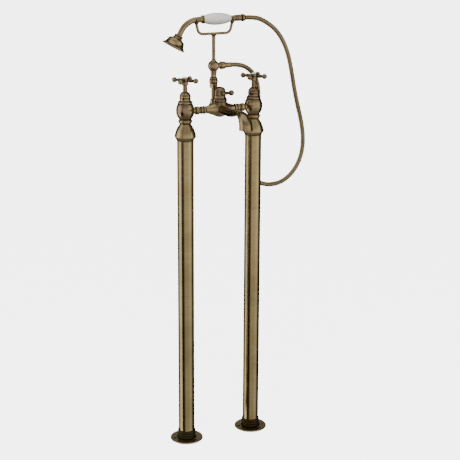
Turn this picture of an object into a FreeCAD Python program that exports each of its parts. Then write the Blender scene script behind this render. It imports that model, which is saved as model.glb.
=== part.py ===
import FreeCAD, Part
import math
import os
import re

import Sketcher

# A floor standing bath filler: two floor pipes carry a two-handle mixer with a swan-neck spout,
# a diverter turret, and behind it a riser with a forked cradle for a handset on a metal hose.
# Frame: origin on the floor midway between the pipes, +Z up, +X towards the right-hand tap,
# and the spout points towards -Y.

V = FreeCAD.Vector
doc = FreeCAD.newDocument("bath_filler")

# ---------------------------------------------------------------- driving dimensions, millimetres
SIZES = [
    ("pipe_centres", 180.0),
    ("pipe_radius", 20.2),
    ("pipe_wall", 1.5),
    ("pipe_length", 783.0),
    ("seat_gap", 0.05),
    ("run_gap", 0.06),
    ("flange_radius", 41.6),
    ("flange_plate", 4.0),
    ("flange_ledge", 2.0),
    ("flange_floor_bore", 17.0),
    ("collar_wall", 1.6),
    ("collar_ring", 7.0),
    ("collar_ring_bulge", 8.0),
    ("screw_circle_radius", 30.5),
    ("screw_hole_radius", 2.4),
    ("screw_head_radius", 4.4),
    ("screw_hole_angle", -67.0),
    ("grub_radius", 2.0),
    ("tail_radius", 11.0),
    ("tail_wall", 1.0),
    ("tail_foot", 1.0),
    ("tail_socket", 14.0),
    ("washer_thickness", 1.5),
    ("shroud_socket", 6.0),
    ("shroud_height", 43.0),
    ("shroud_lip", 0.6),
    ("shroud_widest", 26.3),
    ("shroud_widest_rise", 11.0),
    ("shroud_neck", 13.8),
    ("shroud_curve", 66.0),
    ("body_height", 48.0),
    ("body_axis_rise", 29.0),
    ("bead_root", 14.4),
    ("bead_height", 10.4),
    ("bead_curve", 5.5),
    ("bulb_radius", 22.1),
    ("bulb_widest_rise", 30.5),
    ("bulb_lower_curve", 28.2),
    ("bulb_upper_curve", 33.0),
    ("bulb_shoulder", 18.2),
    ("seat_bore", 8.0),
    ("seat_rise", 21.0),
    ("valve_chamber", 12.5),
    ("centre_radius", 20.3),
    ("cone_root", 8.0),
    ("cone_root_at", 38.0),
    ("cone_waist", 11.0),
    ("cone_waist_at", 27.0),
    ("cone_shoulder", 15.9),
    ("cone_shoulder_at", 14.0),
    ("centre_curve", 26.0),
    ("arm_bead_width", 6.6),
    ("arm_collar_radius", 9.9),
    ("arm_collar_at", 55.0),
    ("arm_collar_width", 10.0),
    ("arm_bore", 5.5),
    ("centre_chamber", 11.0),
    ("boss_radius", 12.0),
    ("boss_length", 22.0),
    ("riser_set_back", 38.0),
    ("elbow_radius", 12.3),
    ("elbow_arm_radius", 10.4),
    ("riser_radius", 5.7),
    ("riser_wall", 1.5),
    ("riser_socket_radius", 8.4),
    ("riser_socket_rise", 17.0),
    ("riser_socket_depth", 8.0),
    ("riser_length", 55.0),
    ("spout_spigot", 9.4),
    ("spout_spigot_length", 10.0),
    ("spout_wall", 2.2),
    ("spout_root", 10.9),
    ("spout_swell", 10.2),
    ("spout_swell_reach", 62.0),
    ("spout_crest_rise", 8.8),
    ("spout_crest_reach", 114.0),
    ("spout_crest_width", 10.4),
    ("spout_crest_depth", 6.6),
    ("spout_reach", 151.0),
    ("spout_drop", 24.5),
    ("mouth_radius", 15.9),
    ("insert_recess", 7.0),
    ("insert_height", 6.0),
    ("bonnet_flange", 17.6),
    ("bonnet_flange_height", 6.0),
    ("bonnet_waist", 13.5),
    ("bonnet_height", 29.0),
    ("bonnet_crown", 7.2),
    ("bonnet_wall", 2.0),
    ("valve_radius", 9.0),
    ("valve_collar", 4.0),
    ("valve_top", 16.0),
    ("disc_radius", 7.0),
    ("disc_thickness", 3.0),
    ("stem_radius", 4.4),
    ("spindle_radius", 5.5),
    ("square_radius", 3.6),
    ("hub_rise", 44.0),
    ("hub_radius", 8.3),
    ("hub_height", 18.0),
    ("cross_arm_reach", 27.5),
    ("cross_arm_neck", 2.9),
    ("cross_arm_rise", 11.7),
    ("cross_ball", 6.5),
    ("cross_angle", 45.0),
    ("index_radius", 6.9),
    ("index_dome", 3.0),
    ("screw_radius", 2.0),
    ("turret_height", 35.0),
    ("turret_waist", 14.0),
    ("turret_crown", 8.5),
    ("turret_bore", 8.6),
    ("lever_rise", 21.5),
    ("lever_stem", 4.0),
    ("lever_stem_length", 20.0),
    ("lever_gap", 0.6),
    ("lever_hub_radius", 5.4),
    ("lever_hub_width", 9.4),
    ("lever_reach", 21.7),
    ("lever_root", 4.2),
    ("lever_ball", 7.0),
    ("lock_nut_flats", 18.6),
    ("lock_nut_height", 11.5),
    ("riser_showing", 28.5),
    ("union_nut_radius", 10.6),
    ("union_nut_height", 14.0),
    ("tee_neck", 7.2),
    ("tee_rise", 28.0),
    ("tee_radius", 13.6),
    ("tee_depth", 18.0),
    ("tee_cap_radius", 10.0),
    ("tee_cap_height", 5.6),
    ("tee_bore", 4.2),
    ("outlet_radius", 6.4),
    ("outlet_reach", 21.0),
    ("stem_boss", 6.0),
    ("stem_boss_rise", 15.5),
    ("hose_nut_radius", 9.3),
    ("hose_nut_at", 16.5),
    ("hose_nut_length", 14.5),
    ("hose_start", 46.0),
    ("hose_radius", 5.8),
    ("hose_bore", 3.6),
    ("hose_rib_depth", 0.45),
    ("ferrule_wall", 0.9),
    ("cradle_stem", 4.5),
    ("cradle_rise", 78.0),
    ("cradle_bar", 3.5),
    ("cradle_left", 45.0),
    ("cradle_right", 48.5),
    ("cradle_corner", 14.0),
    ("cradle_lean", 14.0),
    ("saddle_wire", 2.9),
    ("saddle_gap", 0.5),
    ("saddle_horn", 1.5),
    ("handset_rise", 35.0),
    ("handset_tube", 6.8),
    ("handset_bore", 4.6),
    ("arm_start", 38.0),
    ("arm_straight", 3.0),
    ("arm_bend", 48.0),
    ("arm_end", 12.5),
    ("head_tilt", 60.0),
    ("front_ferrule", 11.5),
    ("front_ferrule_mouth", 10.2),
    ("grip_length", 70.5),
    ("grip_front", 9.2),
    ("grip_rear", 8.1),
    ("grip_curve", 104.0),
    ("core_wall", 0.8),
    ("rear_neck", 13.0),
    ("rear_barrel", 7.8),
    ("rear_barrel_length", 14.5),
    ("hose_end_nut", 9.2),
    ("hose_end_nut_length", 9.0),
    ("hose_end_gap", 0.3),
    ("head_ring", 10.6),
    ("head_ring_height", 4.5),
    ("head_shoulder", 17.6),
    ("head_waist", 21.5),
    ("head_rim", 29.0),
    ("head_depth", 27.0),
    ("head_wall", 2.0),
    ("rose_thickness", 2.4),
    ("rose_screw_radius", 2.0),
    ("rose_hole", 0.9),
    ("rose_inner_ring", 9.0),
    ("rose_outer_ring", 19.0),
]
NAMES = {name for name, value in SIZES}

sheet = doc.addObject("Spreadsheet::Sheet", "sizes")
for row, (name, value) in enumerate(SIZES, start=1):
    sheet.set(f"A{row}", name)
    sheet.set(f"B{row}", str(value))
    sheet.setAlias(f"B{row}", name)
doc.recompute()


def bound(formula):
    """Turn a formula in plain size names into an expression on the sheet."""
    def refer(match):
        word = match.group()
        return "sizes." + word if word in NAMES else word
    return re.sub(r"[a-z_]+", refer, str(formula))


def value(formula):
    """The present value of a formula, in millimetres or degrees."""
    result = sheet.evalExpression(bound(formula).replace("sizes.", ""))
    return float(getattr(result, "Value", result))


# ---------------------------------------------------------------- heights that follow one another
PIPE_FOOT = "flange_ledge"
PIPE_TOP = f"({PIPE_FOOT} + pipe_length)"
SHROUD_FOOT = f"({PIPE_TOP} - shroud_socket)"
BODY_FOOT = f"({SHROUD_FOOT} + shroud_height)"
BODY_AXIS = f"({BODY_FOOT} + body_axis_rise)"
BODY_TOP = f"({BODY_FOOT} + body_height)"
TAIL_TOP = f"({BODY_FOOT} + tail_socket - washer_thickness)"
RISER_FOOT = f"({BODY_AXIS} + riser_socket_rise - riser_socket_depth)"
RISER_TOP = f"({RISER_FOOT} + riser_length)"
LOCK_NUT_FOOT = f"({BODY_AXIS} + riser_socket_rise + riser_showing)"
UNION_FOOT = f"({LOCK_NUT_FOOT} + lock_nut_height)"
UNION_TOP = f"({UNION_FOOT} + union_nut_height)"
TEE_NECK_FOOT = f"({RISER_TOP} + washer_thickness)"
TEE_AXIS = f"({UNION_TOP} + tee_rise)"
CRADLE_BAR = f"({TEE_AXIS} + cradle_rise)"
HANDSET_AXIS = f"({CRADLE_BAR} + handset_rise)"
LEVER_AXIS = f"({BODY_TOP} + lever_rise)"
SIDES = (("left", "-pipe_centres / 2"), ("right", "pipe_centres / 2"))

X_ALONG_Z = FreeCAD.Rotation(V(0, 1, 0), 90)
FRONT_ALONG_Z = FreeCAD.Rotation(V(1, 0, 0), 90)


# ---------------------------------------------------------------- helpers that draw and place
def place(item, x="0", y="0", z="0", turn=None):
    """Put an object at bound coordinates, after turning it."""
    if turn is not None:
        item.Placement = FreeCAD.Placement(V(0, 0, 0), turn)
    for axis, formula in (("x", x), ("y", y), ("z", z)):
        item.setExpression(f"Placement.Base.{axis}", bound(formula))
    return item


def plane(body, role):
    """The body's own origin plane or axis of this role."""
    return [item for item in body.Origin.OriginFeatures if item.Role == role][0]


def arc_middle(start, end, radius):
    """Middle point of a short arc; a positive radius bulges to the right of the way it runs."""
    chord = end - start
    half = chord.Length / 2
    size = max(abs(radius), half * 1.0001)
    rise = size - math.sqrt(size * size - half * half)
    side = V(chord.y, -chord.x, 0).normalize()
    return (start + end) * 0.5 + side * math.copysign(rise, radius)


def draw(body, name, outline, role="XZ_Plane", axis_at=None):
    """A closed sketch through (across, up) corners; a third entry is the radius of the arc that
    runs to the next corner. Every corner and radius is bound to the sheet."""
    sketch = body.newObject("Sketcher::SketchObject", name)
    sketch.AttachmentSupport = [(plane(body, role), "")]
    sketch.MapMode = "FlatFace"
    corners = [V(value(entry[0]), value(entry[1]), 0) for entry in outline]
    edges = []
    for number, entry in enumerate(outline):
        start = corners[number]
        end = corners[(number + 1) % len(corners)]
        if len(entry) == 3:
            middle = arc_middle(start, end, value(entry[2]))
            edges.append(Part.Arc(start, middle, end))
        else:
            edges.append(Part.LineSegment(start, end))
    ids = sketch.addGeometry(edges, False)
    ends = []
    for number, edge in enumerate(ids):
        first = sketch.getPoint(edge, 1)
        forward = (first - corners[number]).Length < 1e-6
        ends.append((1, 2) if forward else (2, 1))
    joins = []
    formulas = []
    for number, entry in enumerate(outline):
        after = (number + 1) % len(outline)
        joins.append(Sketcher.Constraint("Coincident", ids[number], ends[number][1],
                                         ids[after], ends[after][0]))
        formulas.append(None)
        for kind, formula, size in (("DistanceX", entry[0], corners[number].x),
                                    ("DistanceY", entry[1], corners[number].y)):
            joins.append(Sketcher.Constraint(kind, -1, 1, ids[number], ends[number][0], size))
            formulas.append(formula)
        if len(entry) == 3:
            joins.append(Sketcher.Constraint("Radius", ids[number], abs(value(entry[2]))))
            formulas.append(f"abs({entry[2]})")
    sketch.addConstraint(joins)
    for number, formula in enumerate(formulas):
        if formula is not None:
            sketch.setExpression(f"Constraints[{number}]", bound(formula))
    if axis_at is not None:
        across = value(axis_at)
        line = sketch.addGeometry(Part.LineSegment(V(across, 0, 0), V(across, 1, 0)), True)
        sketch.addConstraint(Sketcher.Constraint("Vertical", line))
        sketch.addConstraint(Sketcher.Constraint("DistanceY", -1, 1, line, 1, 0.0))
        sketch.addConstraint(Sketcher.Constraint("DistanceY", line, 1, line, 2, 1.0))
        last = sketch.addConstraint(Sketcher.Constraint("DistanceX", -1, 1, line, 1, across))
        sketch.setExpression(f"Constraints[{last}]", bound(axis_at))
    sketch.Visibility = False
    return sketch


def spin(body, name, outline, kind="PartDesign::Revolution", axis="V_Axis", axis_at=None):
    """Turn a closed outline fully about an axis of its sketch, to add or to cut."""
    sketch = draw(body, name + "_outline", outline, axis_at=axis_at)
    feature = body.newObject(kind, name)
    feature.Profile = sketch
    feature.ReferenceAxis = (sketch, ["Axis0" if axis_at is not None else axis])
    feature.Angle = 360
    body.Tip = feature
    return feature


def turned(name, outline, **where):
    """A body turned about its own Z axis from one (radius, height) outline."""
    body = doc.addObject("PartDesign::Body", name)
    spin(body, name + "_turn", outline)
    return place(body, **where)


def tube(name, outer, inner, foot, top, **where):
    """A plain turned tube between two heights."""
    return turned(name, [(inner, foot), (outer, foot), (outer, top), (inner, top)], **where)


def pattern(body, feature, count, role="Z_Axis"):
    """Repeat a feature evenly round one of the body's axes."""
    doc.recompute()
    ring = body.newObject("PartDesign::PolarPattern", feature.Name + "_ring")
    ring.Originals = [feature]
    ring.Axis = (plane(body, role), [""])
    ring.Angle = 360
    ring.Occurrences = count
    body.Tip = ring
    return ring


def hole(body, name, radius, across, up, depth, role="XZ_Plane", backwards=False):
    """A round pocket cut from one of the body's origin planes."""
    sketch = body.newObject("Sketcher::SketchObject", name + "_circle")
    sketch.AttachmentSupport = [(plane(body, role), "")]
    sketch.MapMode = "FlatFace"
    centre = V(value(across), value(up), 0)
    circle = sketch.addGeometry(Part.Circle(centre, V(0, 0, 1), value(radius)), False)
    rules = (("Radius", (circle,), radius),
             ("DistanceX", (-1, 1, circle, 3), across),
             ("DistanceY", (-1, 1, circle, 3), up))
    for kind, target, formula in rules:
        number = sketch.addConstraint(Sketcher.Constraint(kind, *target, value(formula)))
        sketch.setExpression(f"Constraints[{number}]", bound(formula))
    sketch.Visibility = False
    pocket = body.newObject("PartDesign::Pocket", name)
    pocket.Profile = sketch
    pocket.Type = "Length"
    pocket.setExpression("Length", bound(depth))
    pocket.Reversed = backwards
    body.Tip = pocket
    return pocket


def cylinder(name, radius, height, **where):
    """A Part cylinder with bound sizes, standing on its placed point."""
    item = doc.addObject("Part::Cylinder", name)
    item.setExpression("Radius", bound(radius))
    item.setExpression("Height", bound(height))
    return place(item, **where)


def ball(name, radius, **where):
    """A Part sphere with a bound radius."""
    item = doc.addObject("Part::Sphere", name)
    item.setExpression("Radius", bound(radius))
    return place(item, **where)


def ring_arc(name, bend, wire, angle, **where):
    """A length of round bar bent about its own Z axis, starting on its X axis."""
    item = doc.addObject("Part::Torus", name)
    item.setExpression("Radius1", bound(bend))
    item.setExpression("Radius2", bound(wire))
    item.setExpression("Angle3", bound(angle))
    return place(item, **where)


def fused(name, items):
    """Several objects joined into one."""
    union = doc.addObject("Part::MultiFuse", name)
    union.Shapes = items
    union.Refine = True
    return union


def cut(name, base, tools):
    """One object with others cut away from it."""
    result = doc.addObject("Part::Cut", name)
    result.Base = base
    result.Tool = tools[0] if len(tools) == 1 else fused(name + "_cutters", tools)
    result.Refine = True
    return result


def group(name, items):
    """Identical pieces that share one node as separate solids."""
    together = doc.addObject("Part::Compound", name)
    together.Links = items
    return together


NODES = []


def node(item, label=None):
    """Mark an object as a sub-part of the filler and give it the name of its file."""
    item.Label = label or item.Name
    NODES.append(item)
    return item


# ---------------------------------------------------------------- floor flanges and pipes
# Each flange is one casting: a round plate with three countersunk screw holes and a collar of
# three stacked rings that holds the pipe. The pipe stands on a ledge inside the collar.
def floor_flange(side, x):
    wall_root = "pipe_radius + collar_wall"
    outline = [
        ("flange_floor_bore", "0"),
        ("flange_radius - 0.3 * flange_plate", "0"),
        ("flange_radius", "0.3 * flange_plate"),
        ("flange_radius", "0.6 * flange_plate", "0.4 * flange_plate"),
        ("flange_radius - 0.4 * flange_plate", "flange_plate"),
        (wall_root, "flange_plate", "collar_ring_bulge"),
        (wall_root, "flange_plate + collar_ring", "collar_ring_bulge"),
        (wall_root, "flange_plate + 2 * collar_ring", "collar_ring_bulge"),
        (wall_root, "flange_plate + 3 * collar_ring"),
        ("pipe_radius + seat_gap", "flange_plate + 3 * collar_ring"),
        ("pipe_radius + seat_gap", PIPE_FOOT),
        ("flange_floor_bore", PIPE_FOOT),
    ]
    body = turned(side + "_floor_flange", outline, x=x)
    ring_foot = "flange_plate + 1.5 * collar_ring"
    hole(body, side + "_grub_hole", "grub_radius + seat_gap", "0", ring_foot,
         "flange_radius", role="YZ_Plane")
    grub = cylinder(side + "_grub_screw", "grub_radius", "collar_wall + 0.7")
    way = "screw_hole_angle + 180"
    start = "(pipe_radius + seat_gap)"
    grub.setExpression("Placement", bound(
        f"placement(vector({x} + {start} * cos({way}); {start} * sin({way}); {ring_foot}); "
        f"rotation(vector(0; 0; 1); {way}) * rotation(vector(0; 1; 0); 90))"))
    grubs.append(grub)
    sink = "(screw_head_radius - screw_hole_radius)"
    screw = spin(body, side + "_screw_hole", [
        ("screw_circle_radius", "-1"),
        ("screw_circle_radius + screw_hole_radius", "-1"),
        ("screw_circle_radius + screw_hole_radius", f"flange_plate - {sink}"),
        ("screw_circle_radius + screw_head_radius", "flange_plate"),
        ("screw_circle_radius + screw_head_radius", "flange_plate + 1"),
        ("screw_circle_radius", "flange_plate + 1"),
    ], kind="PartDesign::Groove", axis_at="screw_circle_radius")
    pattern(body, screw, 3)
    body.Placement = FreeCAD.Placement(V(0, 0, 0), FreeCAD.Rotation(V(0, 0, 1), 1))
    body.setExpression("Placement.Rotation.Angle", bound("screw_hole_angle + 360"))
    place(body, x=x)
    return node(body)


def shroud(side, x):
    """The bell-shaped cup that closes the pipe and hides the joint to the tap."""
    outline = [
        ("pipe_radius + seat_gap", "0"),
        ("pipe_radius + shroud_lip", "0"),
        ("pipe_radius + shroud_lip", "0.4 * shroud_socket"),
        ("shroud_widest", "shroud_widest_rise", "shroud_curve"),
        ("shroud_neck", "shroud_height - 2"),
        ("bead_root", "shroud_height"),
        ("tail_radius + 1", "shroud_height"),
        ("tail_radius + 1", "0.72 * shroud_height"),
        ("pipe_radius - 2 * pipe_wall", "shroud_socket + 4"),
        ("pipe_radius - 2 * pipe_wall", "shroud_socket"),
        ("pipe_radius + seat_gap", "shroud_socket"),
    ]
    return node(turned(side + "_pipe_shroud", outline, x=x, z=SHROUD_FOOT))


seals = []
grubs = []
for side, x in SIDES:
    floor_flange(side, x)
    node(tube(side + "_standpipe", "pipe_radius", "pipe_radius - pipe_wall",
              "0", "pipe_length", x=x, z=PIPE_FOOT))
    shroud(side, x)
    node(tube(side + "_supply_tail", "tail_radius", "tail_radius - tail_wall",
              "0", f"{TAIL_TOP} - tail_foot", x=x, z="tail_foot"))
    seals.append(tube(side + "_inlet_seal", "tail_radius - seat_gap", "seat_bore",
                      "0", "washer_thickness", x=x, z=TAIL_TOP))
node(group("inlet_seals", seals))
node(group("flange_grub_screws", grubs))

# ---------------------------------------------------------------- mixer body
# One brass casting: two tap bulbs with a bead under each, two turned arms that swell into the
# centre, a boss for the spout, and an elbow at the back that carries the riser. It is bored
# through: supply seats, valve chambers, cross bore, diverter chamber, spout and riser ways.
def bulb(side, x):
    outline = [
        ("0", "0"),
        ("bead_root", "0"),
        ("bead_root", "0.6", "bead_curve"),
        ("bead_root", "0.6 + 0.9 * bead_height"),
        ("bead_root", "bead_height", "bulb_lower_curve"),
        ("bulb_radius", "bulb_widest_rise", "bulb_upper_curve"),
        ("bulb_shoulder", "body_height - 1"),
        ("bulb_shoulder - 1", "body_height"),
        ("0", "body_height"),
    ]
    return turned(side + "_bulb", outline, x=x, z=BODY_FOOT)


def arms():
    """Half of the cross bar, turned about the X axis and mirrored to the other side."""
    body = doc.addObject("PartDesign::Body", "arms")
    bead_end = "(cone_root_at + arm_bead_width)"
    collar_foot = f"({bead_end} + arm_bead_width)"
    collar_top = "(arm_collar_at + arm_collar_width)"
    inside = "(pipe_centres / 2 - bulb_radius + 4)"
    outline = [
        ("0", "0"),
        (inside, "0"),
        (inside, "cone_root"),
        (collar_top, "cone_root"),
        (f"{collar_top} - 2", "arm_collar_radius"),
        ("arm_collar_at + 1", "arm_collar_radius"),
        ("arm_collar_at", "cone_root + 0.6"),
        (collar_foot, "cone_root", "0.62 * arm_bead_width"),
        (bead_end, "cone_root", "0.56 * arm_bead_width"),
        ("cone_root_at", "cone_root"),
        ("cone_waist_at", "cone_waist"),
        ("cone_shoulder_at", "cone_shoulder", "centre_curve"),
        ("0", "centre_radius"),
    ]
    feature = spin(body, "arm_turn", outline, axis="H_Axis")
    doc.recompute()
    twin = body.newObject("PartDesign::Mirrored", "arm_twin")
    twin.Originals = [feature]
    twin.MirrorPlane = (plane(body, "YZ_Plane"), [""])
    body.Tip = twin
    return place(body, z=BODY_AXIS)


def mixer_body():
    solid = [arms()]
    bores = []
    for side, x in SIDES:
        solid.append(bulb(side, x))
        chamber = f"({BODY_FOOT} + seat_rise)"
        bores.append(cylinder(side + "_tail_socket", "tail_radius + seat_gap", "tail_socket",
                              x=x, z=BODY_FOOT))
        bores.append(cylinder(side + "_seat", "seat_bore", "seat_rise", x=x, z=BODY_FOOT))
        bores.append(cylinder(side + "_chamber", "valve_chamber", "body_height - seat_rise",
                              x=x, z=chamber))
    solid.append(cylinder("turret_seat", "bonnet_flange", f"{BODY_TOP} - {BODY_AXIS}",
                          z=BODY_AXIS))
    solid.append(cylinder("spout_boss", "boss_radius", "boss_length",
                          z=BODY_AXIS, turn=FRONT_ALONG_Z))
    solid.append(cylinder("elbow_arm", "elbow_arm_radius", "riser_set_back",
                          y="riser_set_back", z=BODY_AXIS, turn=FRONT_ALONG_Z))
    solid.append(ball("elbow", "elbow_radius", y="riser_set_back", z=BODY_AXIS))
    solid.append(cylinder("riser_socket", "riser_socket_radius", "riser_socket_rise",
                          y="riser_set_back", z=BODY_AXIS))
    bores.append(cylinder("cross_bore", "arm_bore", "pipe_centres",
                          x="-pipe_centres / 2", z=BODY_AXIS, turn=X_ALONG_Z))
    bores.append(cylinder("diverter_chamber", "centre_chamber", f"{BODY_TOP} - {BODY_AXIS} + 8",
                          z=f"{BODY_AXIS} - 8"))
    bores.append(cylinder("turret_face", "centre_radius + 1", "centre_radius", z=BODY_TOP))
    bores.append(cylinder("spout_way", "spout_spigot + seat_gap", "boss_length",
                          z=BODY_AXIS, turn=FRONT_ALONG_Z))
    bores.append(cylinder("riser_way", "riser_radius - riser_wall", "riser_set_back",
                          y="riser_set_back", z=BODY_AXIS, turn=FRONT_ALONG_Z))
    bores.append(cylinder("riser_drop", "riser_radius - riser_wall", "riser_socket_rise",
                          y="riser_set_back", z=BODY_AXIS))
    bores.append(cylinder("riser_seat", "riser_radius + seat_gap", "riser_socket_depth",
                          y="riser_set_back", z=RISER_FOOT))
    return node(cut("mixer_body", fused("mixer_casting", solid), bores))


mixer_body()


# ---------------------------------------------------------------- taps
# Under each bonnet a quarter-turn valve: a brass cartridge, a fixed and a moving ceramic disc,
# and a spindle that carries the cross handle. The bonnet is a cover that screws down over it.
def tap_bonnet(side, x):
    outline = [
        ("valve_chamber - seat_gap", "0"),
        ("bonnet_flange - 0.4", "0"),
        ("bonnet_flange", "0.4"),
        ("bonnet_flange", "0.45 * bonnet_flange_height", "0.6 * bonnet_flange_height"),
        ("bonnet_waist + 1.4", "bonnet_flange_height", "-6"),
        ("bonnet_waist", "0.38 * bonnet_height"),
        ("bonnet_waist + 0.4", "0.5 * bonnet_height"),
        ("bonnet_waist - 0.4", "0.68 * bonnet_height", "12"),
        ("bonnet_crown", "0.95 * bonnet_height"),
        ("bonnet_crown - 1", "bonnet_height"),
        ("spindle_radius + run_gap", "bonnet_height"),
        ("spindle_radius + run_gap", "0.86 * bonnet_height"),
        ("bonnet_waist - bonnet_wall", "0.64 * bonnet_height"),
        ("bonnet_waist - bonnet_wall", "valve_collar"),
        ("valve_chamber - seat_gap", "valve_collar"),
    ]
    return node(turned(side + "_bonnet", outline, x=x, z=BODY_TOP))


def valve(side, x):
    """The cartridge stands on the supply seat and its collar sits under the bonnet."""
    foot = f"({BODY_FOOT} + seat_rise)"
    rise = "(body_height - seat_rise)"
    outline = [
        ("disc_radius - 2", "0"),
        ("valve_radius", "0"),
        ("valve_radius", f"{rise} - 4"),
        ("valve_chamber - 2 * seat_gap", f"{rise} - 3"),
        ("valve_chamber - 2 * seat_gap", f"{rise} + valve_collar"),
        ("valve_radius", f"{rise} + valve_collar"),
        ("valve_radius", f"{rise} + valve_top"),
        ("stem_radius + run_gap", f"{rise} + valve_top"),
        ("stem_radius + run_gap", f"{rise} - 6"),
        ("disc_radius + run_gap", f"{rise} - 6"),
        ("disc_radius + run_gap", "1"),
        ("disc_radius - 2", "1"),
    ]
    body = turned(side + "_valve_cartridge", outline, x=x, z=foot)
    window = hole(body, side + "_valve_window", "3.4", "0", "2 * disc_thickness + 6",
                  "valve_radius + 1")
    pattern(body, window, 4)
    node(body)
    still = turned(side + "_fixed_disc", [
        ("0", "0"),
        ("disc_radius", "0"),
        ("disc_radius", "disc_thickness"),
        ("0", "disc_thickness"),
    ], x=x, z=f"{foot} + 1")
    hole(still, side + "_fixed_port", "0.34 * disc_radius", "0.45 * disc_radius", "0",
         "disc_thickness", role="XY_Plane", backwards=True)
    node(still)
    moving = turned(side + "_moving_disc", [
        ("0", "0"),
        ("disc_radius", "0"),
        ("disc_radius", "disc_thickness"),
        ("0", "disc_thickness"),
    ], x=x, z=f"{foot} + 1.3 + disc_thickness")
    hole(moving, side + "_moving_port", "0.34 * disc_radius", "-0.45 * disc_radius", "0",
         "disc_thickness", role="XY_Plane", backwards=True)
    node(moving)


def spindle(side, x):
    """One turned shaft from the moving disc up into the handle."""
    foot = f"({BODY_FOOT} + seat_rise + 1.3 + 2 * disc_thickness)"
    rise = "(body_height - seat_rise - 1.3 - 2 * disc_thickness)"
    outline = [
        ("0", "0"),
        ("disc_radius", "0"),
        ("disc_radius", "2.5"),
        ("stem_radius", "2.5"),
        ("stem_radius", f"{rise} + 2"),
        ("stem_radius - 1", f"{rise} + 2"),
        ("stem_radius - 1", f"{rise} + 4"),
        ("stem_radius", f"{rise} + 4"),
        ("stem_radius", f"{rise} + valve_top + 1"),
        ("spindle_radius", f"{rise} + valve_top + 2"),
        ("spindle_radius", f"{rise} + hub_rise"),
        ("square_radius", f"{rise} + hub_rise"),
        ("square_radius", f"{rise} + hub_rise + 0.5 * hub_height"),
        ("screw_radius + seat_gap", f"{rise} + hub_rise + 0.5 * hub_height"),
        ("screw_radius + seat_gap", f"{rise} + hub_rise - 2"),
        ("0", f"{rise} + hub_rise - 2"),
    ]
    node(turned(side + "_spindle", outline, x=x, z=foot))
    return node(tube(side + "_spindle_seal", "stem_radius + 0.5 * run_gap",
                     "stem_radius - 1 + seat_gap", f"{rise} + 2 + seat_gap",
                     f"{rise} + 4 - seat_gap", x=x, z=foot))


def cross_handle(side, x):
    """A hub with four ball-ended arms, cast in one piece."""
    seat = "(hub_height - index_dome)"
    outline = [
        ("square_radius + seat_gap", "0"),
        ("0.84 * hub_radius", "0"),
        ("0.92 * hub_radius", "0.05 * hub_height"),
        ("0.92 * hub_radius", "0.42 * hub_height", "-7"),
        ("hub_radius", "0.6 * hub_height"),
        ("hub_radius", "0.97 * hub_height"),
        ("0.97 * hub_radius", "hub_height"),
        ("index_radius + seat_gap", "hub_height"),
        ("index_radius + seat_gap", f"{seat} - 1"),
        ("screw_radius + seat_gap", f"{seat} - 1"),
        ("screw_radius + seat_gap", "0.5 * hub_height"),
        ("square_radius + seat_gap", "0.5 * hub_height"),
    ]
    name = side + "_cross_handle"
    body = doc.addObject("PartDesign::Body", name)
    spin(body, name + "_hub", outline)
    sketch = draw(body, name + "_arm_outline", [
        ("index_radius + 8 * seat_gap", "cross_arm_rise"),
        ("index_radius + 8 * seat_gap", "cross_arm_rise + cross_arm_neck + 1.2"),
        ("hub_radius + 1.5", "cross_arm_rise + cross_arm_neck + 1.2", "-14"),
        ("cross_arm_reach - 0.9 * cross_ball", "cross_arm_rise + cross_arm_neck"),
        ("cross_arm_reach - 0.88 * cross_ball", "cross_arm_rise + 0.475 * cross_ball",
         "-cross_ball"),
        ("cross_arm_reach + 0.95 * cross_ball", "cross_arm_rise + 0.3122 * cross_ball", "-3"),
        ("cross_arm_reach + 1.06 * cross_ball", "cross_arm_rise + 0.12 * cross_ball"),
        ("cross_arm_reach + 1.06 * cross_ball", "cross_arm_rise"),
    ])
    line = sketch.addGeometry(Part.LineSegment(V(0, 1, 0), V(1, 1, 0)), True)
    sketch.addConstraint(Sketcher.Constraint("Horizontal", line))
    sketch.addConstraint(Sketcher.Constraint("DistanceX", -1, 1, line, 1, 0.0))
    sketch.addConstraint(Sketcher.Constraint("DistanceX", line, 1, line, 2, 1.0))
    last = sketch.addConstraint(Sketcher.Constraint("DistanceY", -1, 1, line, 1, 1.0))
    sketch.setExpression(f"Constraints[{last}]", bound("cross_arm_rise"))
    arm = body.newObject("PartDesign::Revolution", name + "_arm")
    arm.Profile = sketch
    arm.ReferenceAxis = (sketch, ["Axis0"])
    arm.Angle = 360
    body.Tip = arm
    pattern(body, arm, 4)
    body.Placement = FreeCAD.Placement(V(0, 0, 0), FreeCAD.Rotation(V(0, 0, 1), 1))
    body.setExpression("Placement.Rotation.Angle", bound("cross_angle"))
    return node(place(body, x=x, z=f"{BODY_TOP} + hub_rise"))


def handle_top(side, x):
    """The screw that holds the handle down, and the white index button over it."""
    seat = f"({BODY_TOP} + hub_rise + hub_height - index_dome)"
    screw = turned(side + "_handle_screw", [
        ("0", "index_dome - hub_height"),
        ("screw_radius", "index_dome - hub_height"),
        ("screw_radius", "-1"),
        ("1.9 * screw_radius", "-1"),
        ("1.9 * screw_radius", "0"),
        ("0", "0"),
    ], x=x, z=seat)
    node(screw)
    button = turned(side + "_index_button", [
        ("0", "0"),
        ("index_radius", "0"),
        ("index_radius", "index_dome - 0.4", "12"),
        ("0.12 * index_radius", "2 * index_dome - 0.6"),
        ("0", "2 * index_dome - 0.6"),
    ], x=x, z=seat)
    return node(button)


for side, x in SIDES:
    tap_bonnet(side, x)
    valve(side, x)
    spindle(side, x)
    cross_handle(side, x)
    handle_top(side, x)


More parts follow.
